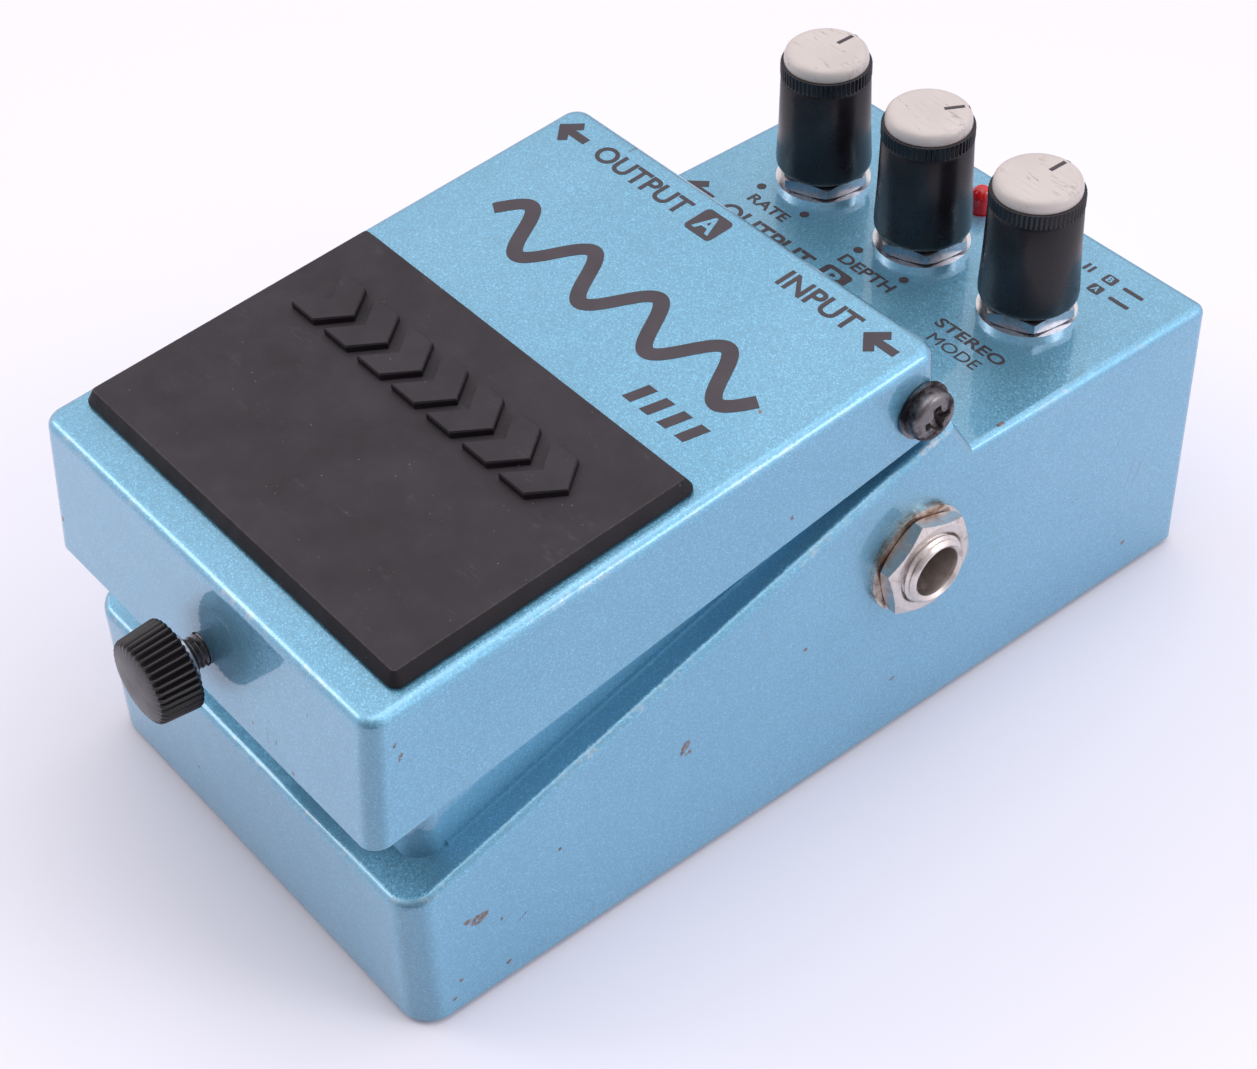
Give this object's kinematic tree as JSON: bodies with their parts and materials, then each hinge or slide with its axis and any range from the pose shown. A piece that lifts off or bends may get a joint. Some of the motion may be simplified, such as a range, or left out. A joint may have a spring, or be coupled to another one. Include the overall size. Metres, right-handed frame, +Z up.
{
  "type": "guitar effects pedal",
  "caption": "Compact die-cast stomp box: hinged treadle with a rubber pad over a battery well, a thumbscrew at the front, side jacks, and a row of knobs with a lamp behind.",
  "frame": {"origin": "centre of the case's footprint, on the underside of the rubber base", "axes": "+X towards the input jack's side, +Y towards the knobs and the power socket, +Z up"},
  "size_m": [0.0746, 0.1369, 0.0603],
  "materials": {
    "paint": "sky-blue metallic enamel under a gloss coat",
    "base_steel": "dull zinc-grey steel",
    "base_rubber": "black moulded rubber",
    "tread_rubber": "charcoal rubber, worn matte",
    "plated_steel": "nickel-plated steel",
    "nickel": "tarnished bright nickel",
    "black_steel": "blackened steel, worn",
    "spring_steel": "drawn spring wire",
    "brass": "turned brass",
    "insulator": "translucent insulating sheet",
    "white_plastic": "natural nylon",
    "circuit_board": "phenolic circuit board",
    "component_black": "moulded components",
    "battery_jacket": "printed steel jacket, plain",
    "snap_plastic": "black moulding",
    "switch_plastic": "black moulding",
    "foam": "open-cell foam",
    "thumbscrew_plastic": "black moulded plastic, ribbed",
    "control_can": "stamped can",
    "aluminium_shaft": "turned",
    "knob_black": "glossy black",
    "knob_cap": "warm pale grey, satin",
    "lamp_red": "translucent red"
  },
  "bodies": {
    "case": {"chassis": "paint", "base_plate": "base_steel", "rubber_base": "base_rubber", "base_screws": "plated_steel", "insulating_sheet": "insulator", "board_spacers": "white_plastic", "main_board": "circuit_board", "board_components": "component_black", "control_board": "circuit_board", "battery": "battery_jacket", "battery_snap": "snap_plastic", "switch_body": "switch_plastic", "spring_cup": "white_plastic", "return_spring": "spring_steel", "pivot_screws": "black_steel", "pivot_washers": "plated_steel", "guide_bush": "snap_plastic", "input_jack_bush": "nickel", "input_jack_housing": "switch_plastic", "output_a_jack_bush": "nickel", "output_a_jack_housing": "switch_plastic", "output_b_jack_bush": "nickel", "output_b_jack_housing": "switch_plastic", "jack_washers": "nickel", "jack_nuts": "nickel", "power_socket": "switch_plastic", "power_pin": "nickel", "control_washers": "nickel", "control_nuts": "nickel", "lamp": "lamp_red", "lamp_spacer": "white_plastic", "rate_control": "control_can", "depth_control": "control_can", "mode_control": "control_can"},
    "treadle": {"pedal_plate": "paint", "tread_pad": "tread_rubber", "battery_foam": "foam", "pivot_bushes": "brass"},
    "plunger": {"switch_plunger": "white_plastic"},
    "screw_washer": {"thumbscrew_washer": "plated_steel"},
    "thumbscrew": {"thumbscrew_head": "thumbscrew_plastic", "thumbscrew_shaft": "plated_steel"},
    "rate_dial": {"rate_shaft": "aluminium_shaft", "rate_knob": "knob_black", "rate_cap": "knob_cap"},
    "depth_dial": {"depth_shaft": "aluminium_shaft", "depth_knob": "knob_black", "depth_cap": "knob_cap"},
    "mode_dial": {"mode_shaft": "aluminium_shaft", "mode_knob": "knob_black", "mode_cap": "knob_cap"}
  },
  "joints": [
    {"name": "treadle_hinge", "type": "hinge", "parent": "case", "child": "treadle", "pos_m": [0, 0.01275, 0.051], "axis": [-1, 0, 0], "range_deg": [-3.5, 60], "stiffness_Nm_per_rad": 1.5, "springref_deg": 2.69, "deforming": ["return_spring"]},
    {"name": "plunger_press", "type": "slide", "parent": "case", "child": "plunger", "axis": [0, 0, 1], "range_m": [-0.0015, 0], "stiffness_N_per_m": 400, "springref_m": 0.0002},
    {"name": "screw_travel", "type": "slide", "parent": "treadle", "child": "screw_washer", "axis": [0, -1, 0], "range_m": [0, 0.004]},
    {"name": "screw_turn", "type": "hinge", "parent": "screw_washer", "child": "thumbscrew", "pos_m": [0, -0.068, 0.0392], "axis": [0, -1, 0], "range_deg": [0, 1805]},
    {"name": "rate_turn", "type": "hinge", "parent": "case", "child": "rate_dial", "pos_m": [-0.01867, 0.04505, 0.05], "axis": [0, 0, 1], "range_deg": [-150, 150]},
    {"name": "depth_turn", "type": "hinge", "parent": "case", "child": "depth_dial", "pos_m": [0, 0.04505, 0.05], "axis": [0, 0, 1], "range_deg": [-120, 180]},
    {"name": "mode_turn", "type": "hinge", "parent": "case", "child": "mode_dial", "pos_m": [0.01867, 0.04505, 0.05], "axis": [0, 0, 1], "range_deg": [-30, 30]}
  ],
  "couplings": [
    {"joint": "screw_turn", "follows": "screw_travel", "rad_per_m": 7854}
  ]
}
